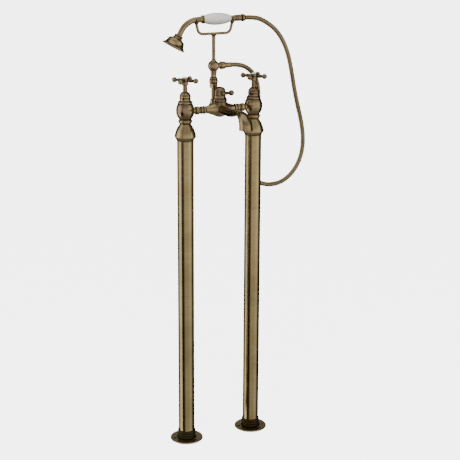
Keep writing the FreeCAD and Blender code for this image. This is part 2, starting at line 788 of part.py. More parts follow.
# ---------------------------------------------------------------- diverter turret and its lever
# The turret stands on the middle of the body. A cartridge in it sends the water either to the
# spout or up the riser; its stem comes out at the front and carries a ball-ended lever.
def turret():
    outline = [
        ("turret_bore + seat_gap", "0"),
        ("bonnet_flange - 0.4", "0"),
        ("bonnet_flange", "0.4"),
        ("bonnet_flange", "0.45 * bonnet_flange_height", "0.6 * bonnet_flange_height"),
        ("turret_waist + 2.6", "bonnet_flange_height + 0.5", "-16"),
        ("turret_waist", "0.42 * turret_height"),
        ("turret_waist", "0.76 * turret_height", "9"),
        ("turret_crown", "0.95 * turret_height", "16"),
        ("0.12 * turret_crown", "turret_height"),
        ("0", "turret_height"),
        ("0", "0.82 * turret_height"),
        ("turret_bore + seat_gap", "0.82 * turret_height"),
    ]
    body = turned("diverter_turret", outline, z=BODY_TOP)
    hole(body, "lever_way", "lever_stem + run_gap", "0", "lever_rise", "turret_waist + 2",
         backwards=True)
    return node(body)


def diverter_cartridge():
    outline = [
        ("0.5 * centre_chamber", "0"),
        ("centre_chamber - seat_gap", "0"),
        ("centre_chamber - seat_gap", f"{BODY_TOP} - {BODY_AXIS} + 8 - 1"),
        ("turret_bore", f"{BODY_TOP} - {BODY_AXIS} + 8 - 1"),
        ("turret_bore", f"{BODY_TOP} - {BODY_AXIS} + 8 + 0.81 * turret_height"),
        ("0", f"{BODY_TOP} - {BODY_AXIS} + 8 + 0.81 * turret_height"),
        ("0", "0.55 * turret_height"),
        ("0.5 * centre_chamber", "0.55 * turret_height"),
    ]
    body = turned("diverter_cartridge", outline, z=f"{BODY_AXIS} - 8")
    port = hole(body, "diverter_port", "0.42 * centre_chamber", "0", "8", "centre_chamber + 1")
    pattern(body, port, 4)
    hole(body, "diverter_stem_way", "lever_stem + run_gap", "0",
         f"{LEVER_AXIS} - {BODY_AXIS} + 8", "turret_bore + 1", backwards=True)
    return node(body)


def lever():
    front = "-(turret_waist + lever_gap)"
    stem = turned("diverter_stem", [
        ("0", "lever_hub_width - lever_stem_length"),
        ("lever_stem", "lever_hub_width - lever_stem_length"),
        ("lever_stem", "-0.1"),
        ("0.7 * lever_stem", "-0.1"),
        ("0.7 * lever_stem", "0.7 * lever_hub_width"),
        ("0", "0.7 * lever_hub_width"),
    ], y=front, z=LEVER_AXIS, turn=FRONT_ALONG_Z)
    node(stem)
    body = doc.addObject("PartDesign::Body", "diverter_lever")
    spin(body, "lever_hub", [
        ("0.7 * lever_stem + seat_gap", "0"),
        ("lever_hub_radius", "0"),
        ("lever_hub_radius", "0.75 * lever_hub_width", "3"),
        ("0.6 * lever_hub_radius", "lever_hub_width"),
        ("0", "lever_hub_width"),
        ("0", "0.7 * lever_hub_width"),
        ("0.7 * lever_stem + seat_gap", "0.7 * lever_hub_width"),
    ])
    middle = "0.5 * lever_hub_width"
    sketch = draw(body, "lever_arm_outline", [
        ("0.6 * lever_hub_radius", middle),
        ("0.6 * lever_hub_radius", f"{middle} + lever_root"),
        ("lever_hub_radius + 3", f"{middle} + lever_root", "-30"),
        ("lever_reach - 0.9 * lever_ball", f"{middle} + 0.75 * lever_root"),
        ("lever_reach - 0.88 * lever_ball", f"{middle} + 0.475 * lever_ball", "-lever_ball"),
        ("lever_reach + 0.95 * lever_ball", f"{middle} + 0.3122 * lever_ball", "-3"),
        ("lever_reach + 1.05 * lever_ball", f"{middle} + 0.12 * lever_ball"),
        ("lever_reach + 1.05 * lever_ball", middle),
    ])
    line = sketch.addGeometry(Part.LineSegment(V(0, 1, 0), V(1, 1, 0)), True)
    sketch.addConstraint(Sketcher.Constraint("Horizontal", line))
    sketch.addConstraint(Sketcher.Constraint("DistanceX", -1, 1, line, 1, 0.0))
    sketch.addConstraint(Sketcher.Constraint("DistanceX", line, 1, line, 2, 1.0))
    last = sketch.addConstraint(Sketcher.Constraint("DistanceY", -1, 1, line, 1, 1.0))
    sketch.setExpression(f"Constraints[{last}]", bound(middle))
    arm = body.newObject("PartDesign::Revolution", "lever_arm")
    arm.Profile = sketch
    arm.ReferenceAxis = (sketch, ["Axis0"])
    arm.Angle = 360
    body.Tip = arm
    return node(place(body, y=front, z=LEVER_AXIS, turn=FRONT_ALONG_Z))


turret()
diverter_cartridge()
lever()


# ---------------------------------------------------------------- spout
# A cast swan neck: it swells behind the body, rises to a flattened crest, then turns down and
# flares to a round mouth. A spigot at the root goes into the body's boss, and an insert in the
# mouth straightens the water.
SPOUT_FALL = "(spout_reach - spout_crest_reach)"
SPOUT_SECTIONS = [
    # reach, rise over the body's axis, half width, half depth, angle below horizontal
    ("boss_length", "0", "spout_root", "spout_root", "0"),
    ("0.62 * spout_swell_reach", "0", "0.98 * spout_swell", "0.98 * spout_swell", "0"),
    ("spout_swell_reach", "0.1 * spout_crest_rise", "spout_swell", "0.98 * spout_swell", "-4"),
    ("0.79 * spout_crest_reach", "0.6 * spout_crest_rise", "0.94 * spout_swell",
     "0.78 * spout_swell", "-9"),
    ("spout_crest_reach", "spout_crest_rise", "spout_crest_width", "spout_crest_depth", "4"),
    (f"spout_crest_reach + 0.57 * {SPOUT_FALL}", "0.55 * spout_crest_rise", "0.85 * mouth_radius",
     "0.62 * mouth_radius", "46"),
    (f"spout_crest_reach + 0.877 * {SPOUT_FALL}", "-0.55 * spout_crest_rise", "0.93 * mouth_radius",
     "0.88 * mouth_radius", "78"),
    (f"spout_crest_reach + 0.98 * {SPOUT_FALL}", "-0.6 * spout_drop", "0.975 * mouth_radius",
     "0.97 * mouth_radius", "88"),
    ("spout_reach", "-spout_drop", "mouth_radius", "mouth_radius", "90"),
]


def spout_loft(name, inset):
    """A loft through the spout's sections, drawn in by an inset for the bore."""
    sections = []
    for number, (reach, rise, width, depth, angle) in enumerate(SPOUT_SECTIONS):
        section = doc.addObject("Part::Ellipse", f"{name}_section_{number}")
        section.setExpression("MajorRadius", bound(f"{width} - {inset}"))
        section.setExpression("MinorRadius", bound(f"{depth} - {inset}"))
        section.Placement = FreeCAD.Placement(V(0, 0, 0), FreeCAD.Rotation(V(1, 0, 0), 90))
        section.setExpression("Placement.Rotation.Angle", bound(f"90 + {angle}"))
        place(section, y=f"-({reach})", z=f"{BODY_AXIS} + {rise}")
        sections.append(section)
    loft = doc.addObject("Part::Loft", name)
    loft.Sections = sections
    loft.Solid = True
    return loft


def spout():
    spigot = cylinder("spout_tail", "spout_spigot", "spout_spigot_length + 1",
                      y="spout_spigot_length - boss_length", z=BODY_AXIS, turn=FRONT_ALONG_Z)
    way = cylinder("spout_tail_bore", "spout_spigot - spout_wall", "spout_spigot_length + 4",
                   y="spout_spigot_length - boss_length + 1", z=BODY_AXIS, turn=FRONT_ALONG_Z)
    mouth = cylinder("mouth_bore", "mouth_radius - spout_wall", "insert_recess + insert_height",
                     y="-spout_reach", z=f"{BODY_AXIS} - spout_drop")
    outside = fused("spout_outside", [spout_loft("spout_shell", "0"), spigot])
    node(cut("spout", outside, [spout_loft("spout_bore", "spout_wall"), way, mouth]))
    insert = doc.addObject("PartDesign::Body", "spout_insert")
    edge = "(mouth_radius - spout_wall - seat_gap)"
    spin(insert, "spout_insert_turn", [
        ("0", "0.5 * insert_height"),
        (f"{edge} - 2", "0.5 * insert_height"),
        (f"{edge} - 2", "0"),
        (edge, "0"),
        (edge, "insert_height"),
        ("0", "insert_height"),
    ])
    way = hole(insert, "insert_way", "2", f"0.5 * {edge}", "0", "insert_height",
               role="XY_Plane", backwards=True)
    pattern(insert, way, 6)
    node(place(insert, y="-spout_reach", z=f"{BODY_AXIS} - spout_drop + insert_recess"))


spout()


# ---------------------------------------------------------------- riser, union and tee
# A tube stands in the elbow. A lock nut and a union nut join it to the neck of the tee, which
# turns the water to the hose and carries the cradle's stem in a socket on top.
BACK = {"y": "riser_set_back"}


def hexagon_nut():
    """The lock nut: a hexagon turned off to a round chamfer at both ends."""
    prism = doc.addObject("Part::Prism", "lock_nut_hexagon")
    prism.Polygon = 6
    prism.setExpression("Circumradius", bound("lock_nut_flats / 2 / cos(30)"))
    prism.setExpression("Height", bound("lock_nut_height"))
    place(prism, z=LOCK_NUT_FOOT, **BACK)
    corner = "lock_nut_flats / 2 / cos(30)"
    form = turned("lock_nut_form", [
        ("riser_radius + seat_gap", "0"),
        ("lock_nut_flats / 2 - 0.3", "0"),
        (corner, "1.6"),
        (corner, "lock_nut_height - 1.6"),
        ("lock_nut_flats / 2 - 0.3", "lock_nut_height"),
        ("riser_radius + seat_gap", "lock_nut_height"),
    ], z=LOCK_NUT_FOOT, **BACK)
    common = doc.addObject("Part::MultiCommon", "riser_lock_nut")
    common.Shapes = [prism, form]
    return node(common)


def union_nut():
    ledge = f"({RISER_TOP} - {UNION_FOOT})"
    outline = [
        ("riser_radius + seat_gap", "0"),
        ("union_nut_radius - 1.4", "0"),
        ("union_nut_radius", "1.6", "16"),
        ("union_nut_radius - 0.3", "0.62 * union_nut_height"),
        ("union_nut_radius - 1.2", "0.68 * union_nut_height"),
        ("union_nut_radius - 0.8", "0.76 * union_nut_height", "4"),
        ("tee_neck + 1.2", "union_nut_height"),
        ("tee_neck + seat_gap", "union_nut_height"),
        ("tee_neck + seat_gap", ledge),
        ("riser_radius + seat_gap", ledge),
    ]
    return node(turned("riser_union_nut", outline, z=UNION_FOOT, **BACK))


def tee():
    drum = turned("tee_drum", [
        ("0", "-0.5 * tee_depth"),
        ("0.74 * tee_radius", "-0.5 * tee_depth", "0.45 * tee_depth"),
        ("tee_radius", "-0.12 * tee_depth"),
        ("tee_radius", "0.12 * tee_depth", "0.45 * tee_depth"),
        ("0.74 * tee_radius", "0.5 * tee_depth"),
        ("0", "0.5 * tee_depth"),
    ], z=TEE_AXIS, turn=FRONT_ALONG_Z, **BACK)
    flare = turned("tee_neck_form", [
        ("0", "0"),
        ("tee_neck", "0"),
        ("tee_neck", f"{UNION_TOP} - {TEE_NECK_FOOT} + 0.3 * tee_rise"),
        ("tee_neck + 1.3", f"{UNION_TOP} - {TEE_NECK_FOOT} + 0.6 * tee_rise"),
        ("tee_neck + 1.3", f"{UNION_TOP} - {TEE_NECK_FOOT} + 0.8 * tee_rise"),
        ("0", f"{UNION_TOP} - {TEE_NECK_FOOT} + 0.8 * tee_rise"),
    ], z=TEE_NECK_FOOT, **BACK)
    outlet = cylinder("tee_outlet", "outlet_radius", "outlet_reach - 0.6 * tee_radius",
                      x="0.6 * tee_radius", z=TEE_AXIS, turn=X_ALONG_Z, **BACK)
    boss = cylinder("tee_boss", "stem_boss", "stem_boss_rise - 0.6 * tee_radius",
                    z=f"{TEE_AXIS} + 0.6 * tee_radius", **BACK)
    way_up = cylinder("tee_way_up", "tee_bore", f"{TEE_AXIS} - {TEE_NECK_FOOT} + 4",
                      z=TEE_NECK_FOOT, **BACK)
    way_out = cylinder("tee_way_out", "0.86 * tee_bore", "outlet_reach", z=TEE_AXIS,
                       turn=X_ALONG_Z, **BACK)
    stem_way = cylinder("stem_way", "cradle_stem + seat_gap", "stem_boss_rise",
                        z=f"{TEE_AXIS} + tee_bore + 2.5", **BACK)
    node(cut("tee_body", fused("tee_casting", [drum, flare, outlet, boss]),
             [way_up, way_out, stem_way]))
    cap = turned("tee_cap", [
        ("0", "0"),
        ("tee_cap_radius", "0"),
        ("tee_cap_radius", "0.3 * tee_cap_height", "0.8 * tee_cap_height"),
        ("0.62 * tee_cap_radius", "0.86 * tee_cap_height", "18"),
        ("0.12 * tee_cap_radius", "tee_cap_height"),
        ("0", "tee_cap_height"),
    ], y="riser_set_back - 0.5 * tee_depth", z=TEE_AXIS, turn=FRONT_ALONG_Z)
    node(cap)


node(tube("riser_tube", "riser_radius", "riser_radius - riser_wall", "0", "riser_length",
          z=RISER_FOOT, **BACK))
hexagon_nut()
union_nut()
node(tube("riser_washer", "tee_neck", "riser_radius - riser_wall", "0", "washer_thickness",
          z=RISER_TOP, **BACK))
tee()


# ---------------------------------------------------------------- cradle
# A stem with a forked bar: two uprights end in U-shaped saddles, open upwards, in which the
# handset lies.
def cradle():
    pieces = [cylinder("cradle_post", "cradle_stem", "cradle_rise - tee_bore - 2.5",
                       z=f"{TEE_AXIS} + tee_bore + 2.5", **BACK)]
    pieces.append(turned("cradle_fillet", [
        ("0", "-2.4 * cradle_stem"),
        ("cradle_stem", "-2.4 * cradle_stem", "-2 * cradle_stem"),
        ("1.9 * cradle_stem", "-0.4 * cradle_bar"),
        ("0", "-0.4 * cradle_bar"),
    ], z=CRADLE_BAR, **BACK))
    rest = "(handset_tube + saddle_gap + saddle_wire)"
    arc_rise = "cradle_corner * (1 - sin(cradle_lean))"
    upright = f"((handset_rise - {rest} - {arc_rise}) / cos(cradle_lean))"
    inset = f"(cradle_corner * cos(cradle_lean) + {upright} * sin(cradle_lean))"
    pieces.append(cylinder("cradle_bar_rod", "cradle_bar",
                           f"cradle_left + cradle_right - 2 * {inset}",
                           x=f"{inset} - cradle_left", z=CRADLE_BAR, turn=X_ALONG_Z, **BACK))
    half_ring = FreeCAD.Rotation(V(0, -1, 0), V(0, 0, -1), V(1, 0, 0), "XYZ")
    for side, way, upright_at in (("left", -1, "-cradle_left"), ("right", 1, "cradle_right")):
        corner_at = f"{upright_at} - ({way}) * {inset}"
        turn = FreeCAD.Rotation(V(0, 0, -1), V(way, 0, 0), V(0, -way, 0), "XYZ")
        pieces.append(ring_arc(side + "_cradle_corner", "cradle_corner", "cradle_bar",
                               "90 - cradle_lean", x=corner_at,
                               z=f"{CRADLE_BAR} + cradle_corner", turn=turn, **BACK))
        post = cylinder(side + "_upright", "cradle_bar", upright)
        post.Placement = FreeCAD.Placement(V(0, 0, 0), FreeCAD.Rotation(V(0, way, 0), 1))
        post.setExpression("Placement.Rotation.Angle", bound("cradle_lean"))
        pieces.append(place(post, z=f"{CRADLE_BAR} + {arc_rise}",
                            x=f"{upright_at} - ({way}) * {upright} * sin(cradle_lean)",
                            **BACK))
        pieces.append(ring_arc(side + "_saddle", rest, "saddle_wire", "180",
                               x=upright_at, z=HANDSET_AXIS, turn=half_ring, **BACK))
        for horn, way in (("front", "-"), ("back", "+")):
            y = f"riser_set_back {way} {rest}"
            pieces.append(cylinder(f"{side}_{horn}_horn", "saddle_wire", "saddle_horn",
                                   x=upright_at, y=y, z=HANDSET_AXIS))
            pieces.append(ball(f"{side}_{horn}_tip", "saddle_wire", x=upright_at, y=y,
                               z=f"{HANDSET_AXIS} + saddle_horn"))
    return node(fused("cradle", pieces))


cradle()


# ---------------------------------------------------------------- handset
# A core tube runs through the white porcelain grip and clamps it between two ferrules. The
# bent arm at the front carries the bell-shaped head; the barrel at the back takes the hose.
GRIP_START = "(front_ferrule - arm_start)"
GRIP_END = f"({GRIP_START} + grip_length)"
BARREL_START = f"({GRIP_END} + rear_neck)"
BARREL_END = f"({BARREL_START} + rear_barrel_length)"
ALONG = {"y": "riser_set_back", "z": HANDSET_AXIS, "turn": X_ALONG_Z}
BEND_START = "(arm_start + arm_straight)"
HEAD_X = f"-({BEND_START} + arm_bend * sin(head_tilt) + arm_end * cos(head_tilt))"
HEAD_Z = f"({HANDSET_AXIS} - arm_bend * (1 - cos(head_tilt)) - arm_end * sin(head_tilt))"


def at_head(item, along="0"):
    """Turn a piece so that its Z axis runs out of the arm's end, and move it along that axis."""
    item.Placement = FreeCAD.Placement(V(0, 0, 0), FreeCAD.Rotation(V(0, -1, 0), 90))
    item.setExpression("Placement.Rotation.Angle", bound("90 + head_tilt"))
    return place(item, x=f"{HEAD_X} - ({along}) * cos(head_tilt)", y="riser_set_back",
                 z=f"{HEAD_Z} - ({along}) * sin(head_tilt)")


def bent_arm(name, radius, start):
    """Straight, bend and straight, as one round bar of a given radius."""
    straight = cylinder(name + "_straight", radius, f"{BEND_START} - {start}",
                        x=f"-{BEND_START}", **ALONG)
    turn = FreeCAD.Rotation(V(0, 0, 1), V(-1, 0, 0), V(0, -1, 0), "XYZ")
    bend = ring_arc(name + "_bend", "arm_bend", radius, "head_tilt",
                    x=f"-{BEND_START}", y="riser_set_back", z=f"{HANDSET_AXIS} - arm_bend",
                    turn=turn)
    end = at_head(cylinder(name + "_end", radius, "arm_end"), "-arm_end")
    return fused(name, [straight, bend, end])


def handset():
    node(cut("handset_arm", bent_arm("arm_outside", "handset_tube", "arm_start"),
             [bent_arm("arm_bore", "handset_bore", "arm_start")]))
    node(turned("front_ferrule", [
        ("handset_bore", "-arm_start"),
        ("handset_tube + 0.3", "-arm_start", "-9"),
        ("front_ferrule_mouth", f"{GRIP_START} - 3.4"),
        ("front_ferrule_mouth", f"{GRIP_START}"),
        ("handset_bore", f"{GRIP_START}"),
    ], **ALONG))
    node(turned("handset_grip", [
        ("handset_bore", GRIP_START),
        ("grip_front - 0.8", GRIP_START, "1.2"),
        ("grip_front", f"{GRIP_START} + 0.8", "grip_curve"),
        ("grip_rear", f"{GRIP_END} - 0.8", "1.2"),
        ("grip_rear - 0.8", GRIP_END),
        ("handset_bore", GRIP_END),
    ], **ALONG))
    node(tube("handset_core_tube", "handset_bore - seat_gap",
              "handset_bore - seat_gap - core_wall",
              f"2 - arm_start", f"{BARREL_START} - 1", **ALONG))
    node(turned("rear_ferrule", [
        ("handset_bore", GRIP_END),
        ("handset_tube", GRIP_END),
        ("handset_tube", f"{GRIP_END} + 0.8 * rear_neck"),
        ("rear_barrel", f"{BARREL_START}"),
        ("rear_barrel", f"{BARREL_START} + 3"),
        ("rear_barrel - 0.7", f"{BARREL_START} + 3.6"),
        ("rear_barrel - 0.7", f"{BARREL_START} + 4.4"),
        ("rear_barrel", f"{BARREL_START} + 5"),
        ("rear_barrel", f"{BARREL_END} - 1"),
        ("rear_barrel - 1", BARREL_END),
        ("rear_barrel - 1.6", BARREL_END),
        ("rear_barrel - 1.6", f"{BARREL_END} + 3"),
        ("handset_bore - core_wall", f"{BARREL_END} + 3"),
        ("handset_bore - core_wall", f"{BARREL_START} - 1"),
        ("handset_bore", f"{BARREL_START} - 1"),
    ], **ALONG))
    nut_start = f"({BARREL_END} + 2)"
    nut_end = f"({nut_start} + hose_end_nut_length)"
    node(turned("hose_end_nut", [
        ("rear_barrel - 1.6 + seat_gap", nut_start),
        ("hose_end_nut - 0.6", nut_start),
        ("hose_end_nut", f"{nut_start} + 0.8"),
        ("hose_end_nut", f"{nut_start} + 0.42 * hose_end_nut_length", "9"),
        ("hose_radius + 0.7", nut_end),
        ("hose_bore", nut_end),
        ("hose_bore", f"{nut_start} + 2"),
        ("rear_barrel - 1.6 + seat_gap", f"{nut_start} + 1"),
    ], **ALONG))
    return nut_end


def shower_head():
    """Ring, bell and rose at the end of the arm, all turned about the head's own axis."""
    bell_foot = "head_ring_height"
    inside = f"(head_depth - rose_thickness)"
    ring = turned("head_ring_nut", [
        ("handset_bore", "0"),
        ("handset_tube + 1.2", "0"),
        ("head_ring", "0.3 * head_ring_height", "0.4 * head_ring_height"),
        ("head_ring", "0.8 * head_ring_height"),
        ("head_ring - 1.4", "head_ring_height"),
        ("handset_bore", "head_ring_height"),
    ])
    node(at_head(ring))
    bell = turned("shower_head_bell", [
        ("handset_bore", "0"),
        ("head_ring - 0.8", "0"),
        ("head_ring - 0.4", "0.6", "-9"),
        ("head_shoulder", "0.26 * head_depth", "11"),
        ("head_waist", "0.55 * head_depth", "-18"),
        ("head_rim", "0.93 * head_depth"),
        ("head_rim", "head_depth"),
        ("head_rim - head_wall", "head_depth"),
        ("head_rim - head_wall", inside),
        ("head_rim - 2.2 * head_wall", inside),
        ("head_waist - head_wall", "0.5 * head_depth"),
        ("head_shoulder - head_wall", "0.26 * head_depth + head_wall"),
        ("handset_bore", "0.26 * head_depth + 0.5 * head_wall"),
    ])
    node(at_head(bell, bell_foot))
    rose = turned("rose_plate", [
        ("rose_screw_radius + seat_gap", "-1.4 * rose_thickness"),
        ("2.2 * rose_screw_radius", "-1.4 * rose_thickness"),
        ("2.2 * rose_screw_radius", "0"),
        ("head_rim - head_wall - seat_gap", "0"),
        ("head_rim - head_wall - seat_gap", "rose_thickness - 0.4"),
        ("head_rim - head_wall - seat_gap - 0.4", "rose_thickness"),
        ("rose_screw_radius + seat_gap", "rose_thickness"),
    ])
    screw = turned("rose_screw", [
        ("0", "-1.3 * rose_thickness"),
        ("rose_screw_radius", "-1.3 * rose_thickness"),
        ("rose_screw_radius", "rose_thickness"),
        ("1.9 * rose_screw_radius", "rose_thickness"),
        ("1.9 * rose_screw_radius", "rose_thickness + 0.6", "6"),
        ("0.3 * rose_screw_radius", "rose_thickness + 1.6"),
        ("0", "rose_thickness + 1.6"),
    ])
    node(at_head(screw, f"{bell_foot} + {inside}"))
    for ring_name, radius, count in (("inner", "rose_inner_ring", 10),
                                     ("outer", "rose_outer_ring", 20)):
        jet = hole(rose, f"rose_{ring_name}_jet", "rose_hole", radius, "0",
                   "rose_thickness + 2", role="XY_Plane", backwards=True)
        pattern(rose, jet, count)
    node(at_head(rose, f"{bell_foot} + {inside}"))


HOSE_END = handset()
shower_head()


# ---------------------------------------------------------------- hose and its lower fittings
def hose_fittings():
    node(turned("hose_start_nut", [
        ("outlet_radius + seat_gap", "hose_nut_at"),
        ("hose_nut_radius - 1.2", "hose_nut_at", "3"),
        ("hose_nut_radius", "hose_nut_at + 0.3 * hose_nut_length", "9"),
        ("hose_nut_radius - 0.6", "hose_nut_at + 0.72 * hose_nut_length", "4"),
        ("hose_radius + 1.6", "hose_nut_at + hose_nut_length"),
        ("hose_radius + seat_gap", "hose_nut_at + hose_nut_length"),
        ("hose_radius + seat_gap", "outlet_reach + washer_thickness"),
        ("outlet_radius + seat_gap", "outlet_reach + washer_thickness"),
    ], y="riser_set_back", z=TEE_AXIS, turn=X_ALONG_Z))
    node(tube("hose_washer", "outlet_radius", "hose_bore", "outlet_reach",
              "outlet_reach + washer_thickness", y="riser_set_back", z=TEE_AXIS,
              turn=X_ALONG_Z))
    node(turned("hose_start_ferrule", [
        ("hose_bore", "outlet_reach + washer_thickness"),
        ("hose_radius", "outlet_reach + washer_thickness"),
        ("hose_radius", "hose_nut_at + hose_nut_length"),
        ("hose_radius + 1.3", "hose_nut_at + hose_nut_length", "-60"),
        ("hose_radius + ferrule_wall", "hose_start"),
        ("hose_bore", "hose_start"),
    ], y="riser_set_back", z=TEE_AXIS, turn=X_ALONG_Z))


# The hose leaves the tee to the right, drops behind the right-hand pipe, turns up in a wide
# loop and comes back to the handset from the right. Corners of its route, chosen by hand.
HOSE_ROUTE = [
    (61.5, 38, 950),
    (82.5, 38.3, 944.7),
    (101.6, 39.2, 931.8),
    (115.8, 41, 912.1),
    (123.3, 43.4, 885.6),
    (124.5, 45.6, 850),
    (117, 47, 803),
    (106, 47, 760),
    (98, 46.5, 720),
    (98, 46, 684.7),
    (110.6, 45.5, 659),
    (133.1, 45, 641.4),
    (161, 44.5, 635.4),
    (192, 44, 640),
    (220, 43.5, 659),
    (240, 43, 688),
    (250, 42.5, 722),
    (250, 42, 760),
    (243, 42, 800),
    (231, 41.5, 842),
    (221, 41, 884),
    (213, 40.5, 926),
    (203, 40, 967),
    (188, 39.5, 1002),
    (166, 39, 1031.5),
    (138, 38.5, 1051.5),
    (111, 38, 1063),
]
RIB_COUNT = 200
END_RIBS_CLEAR = 10.6


def route_pieces(points):
    """Straight runs joined by tangent arcs, each as large as its two runs allow."""
    pieces = []
    at = points[0]
    for before, corner, after in zip(points, points[1:], points[2:]):
        way_in = (corner - before).normalize()
        way_out = (after - corner).normalize()
        turn = way_in.getAngle(way_out)
        reach = 0.45 * min((corner - before).Length, (after - corner).Length)
        radius = reach / math.tan(turn / 2)
        start = corner - way_in * reach
        end = corner + way_out * reach
        inward = (way_out - way_in).normalize()
        centre = corner + inward * (radius / math.cos(turn / 2))
        middle = centre - inward * radius
        pieces.append(("run", at, start))
        pieces.append(("arc", start, middle, end, centre, radius, turn))
        at = end
    pieces.append(("run", at, points[-1]))
    return pieces


def piece_length(piece):
    if piece[0] == "run":
        return (piece[2] - piece[1]).Length
    return piece[5] * piece[6]


def along_route(pieces, distance):
    """The point and the direction at a distance along the route."""
    for piece in pieces:
        length = piece_length(piece)
        if distance <= length or piece is pieces[-1]:
            break
        distance -= length
    if piece[0] == "run":
        way = (piece[2] - piece[1]).normalize()
        return piece[1] + way * distance, way
    start, middle, end, centre, radius, turn = piece[1:]
    out = (start - centre).normalize()
    ahead = (end - centre).normalize()
    across = (ahead - out * out.dot(ahead)).normalize()
    angle = distance / radius
    point = centre + (out * math.cos(angle) + across * math.sin(angle)) * radius
    return point, across * math.cos(angle) - out * math.sin(angle)


def ring_wire(point, way, radius):
    """A circle square to the route, with its start on a steady side."""
    side = V(0, 1, 0)
    side = (side - way * side.dot(way)).normalize()
    circle = Part.Circle(point, way, radius)
    circle.XAxis = side
    return Part.Wire([circle.toShape()])


def least_gap(pieces, total, diameter):
    """The least distance between two stretches of the hose that are not neighbours."""
    step = diameter / 2
    count = int(total / step)
    points = [along_route(pieces, number * step)[0] for number in range(count)]
    apart = int(4 * diameter / step)
    least = min((first - second).Length
                for number, first in enumerate(points)
                for second in points[number + apart:])
    return least - diameter


def shower_hose():
    radius = value("hose_radius")
    depth = value("hose_rib_depth")
    bore = value("hose_bore")
    set_back = value("riser_set_back")
    start = V(value("hose_start"), set_back, value(TEE_AXIS))
    end = V(value(f"{HOSE_END} + hose_end_gap"), set_back, value(HANDSET_AXIS))
    first = V(HOSE_ROUTE[0][0], set_back, start.z)
    last = V(HOSE_ROUTE[-1][0], set_back, end.z)
    points = [start, first] + [V(*corner) for corner in HOSE_ROUTE[1:-1]] + [last, end]
    pieces = route_pieces(points)
    radii = [round(piece[5], 1) for piece in pieces if piece[0] == "arc"]
    total = sum(piece_length(piece) for piece in pieces)
    gap = least_gap(pieces, total, 2 * radius)
    print("hose radii", radii)
    print("hose length", round(total, 1), "least gap", round(gap, 1))
    pitch = (total - 2 * END_RIBS_CLEAR) / RIB_COUNT
    stations = [(0.0, radius)]
    for rib in range(RIB_COUNT):
        at = END_RIBS_CLEAR + rib * pitch
        stations += [(at + 0.08 * pitch, radius - depth), (at + 0.2 * pitch, radius),
                     (at + 0.8 * pitch, radius), (at + 0.92 * pitch, radius - depth)]
    stations.append((total, radius))
    wires = []
    for distance, size in stations:
        point, way = along_route(pieces, distance)
        wires.append(ring_wire(point, way, size))
    outside = Part.makeLoft(wires, True, True)
    edges = []
    for piece in pieces:
        if piece[0] == "run":
            edges.append(Part.LineSegment(piece[1], piece[2]).toShape())
        else:
            edges.append(Part.Arc(piece[1], piece[2], piece[3]).toShape())
    spine = Part.Wire(edges)
    way_in = (points[1] - points[0]).normalize()
    inside = spine.makePipeShell([ring_wire(points[0], way_in, bore)], True, False)
    solid = outside.cut(inside)
    ring = math.pi * (radius * radius - bore * bore) * total
    print("hose volume", round(solid.Volume), "of plain tube", round(ring))
    hose = doc.addObject("Part::Feature", "shower_hose")
    hose.Shape = solid
    return node(hose)


hose_fittings()
shower_hose()

# ---------------------------------------------------------------- check and write
doc.recompute()
for item in doc.Objects:
    if "Invalid" in item.State or "Error" in item.State:
        raise RuntimeError(f"{item.Label} did not compute: {item.State}")
os.makedirs("parts", exist_ok=True)
for item in NODES:
    shape = item.Shape
    if shape.isNull() or not shape.isValid() or not shape.Solids:
        raise RuntimeError(f"{item.Label} has no valid solid")
for item in NODES:
    item.Shape.exportStep(f"parts/{item.Label}.step")
print(len(NODES), "sub-parts written")
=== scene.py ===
import math

import bmesh
import bpy
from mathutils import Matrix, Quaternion, Vector


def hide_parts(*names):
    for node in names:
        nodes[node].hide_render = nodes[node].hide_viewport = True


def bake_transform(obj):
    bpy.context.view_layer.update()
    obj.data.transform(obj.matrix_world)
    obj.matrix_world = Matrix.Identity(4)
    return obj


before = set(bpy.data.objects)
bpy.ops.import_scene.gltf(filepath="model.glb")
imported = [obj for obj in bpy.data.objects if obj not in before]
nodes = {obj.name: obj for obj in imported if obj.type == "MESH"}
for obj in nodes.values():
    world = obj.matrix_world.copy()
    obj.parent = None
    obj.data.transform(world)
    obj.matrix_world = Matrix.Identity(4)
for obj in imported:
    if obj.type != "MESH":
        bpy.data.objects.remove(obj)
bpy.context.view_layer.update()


# --- Camera -------------------------------------------------------------------------------
# It stands in front of the filler and to the left, a little above the taps and looking down.
# The lens is slightly shifted, because the picture's middle lies below the lens's own axis.
SENSOR_WIDTH = 36
FOCAL_LENGTH = 1232.4 / 460  # in picture widths
CAMERA_PLACE = (-1.1769, -2.6945, 1.4008)
CAMERA_TURN = -24.104
CAMERA_NOD = 15.361
CAMERA_LEAN = 0.296


def set_camera():
    camera = bpy.data.objects.new("camera", bpy.data.cameras.new("camera"))
    bpy.context.scene.collection.objects.link(camera)
    camera.data.sensor_width = SENSOR_WIDTH
    camera.data.lens = SENSOR_WIDTH * FOCAL_LENGTH
    camera.data.shift_y = -0.04
    camera.data.clip_end = 100
    turn = Quaternion((0, 0, 1), math.radians(CAMERA_TURN))
    nod = Quaternion((1, 0, 0), math.radians(90 - CAMERA_NOD))
    lean = Quaternion((0, 0, 1), math.radians(CAMERA_LEAN))
    camera.rotation_mode = "QUATERNION"
    camera.rotation_quaternion = turn @ nod @ lean
    camera.location = CAMERA_PLACE
    bpy.context.scene.camera = camera


set_camera()


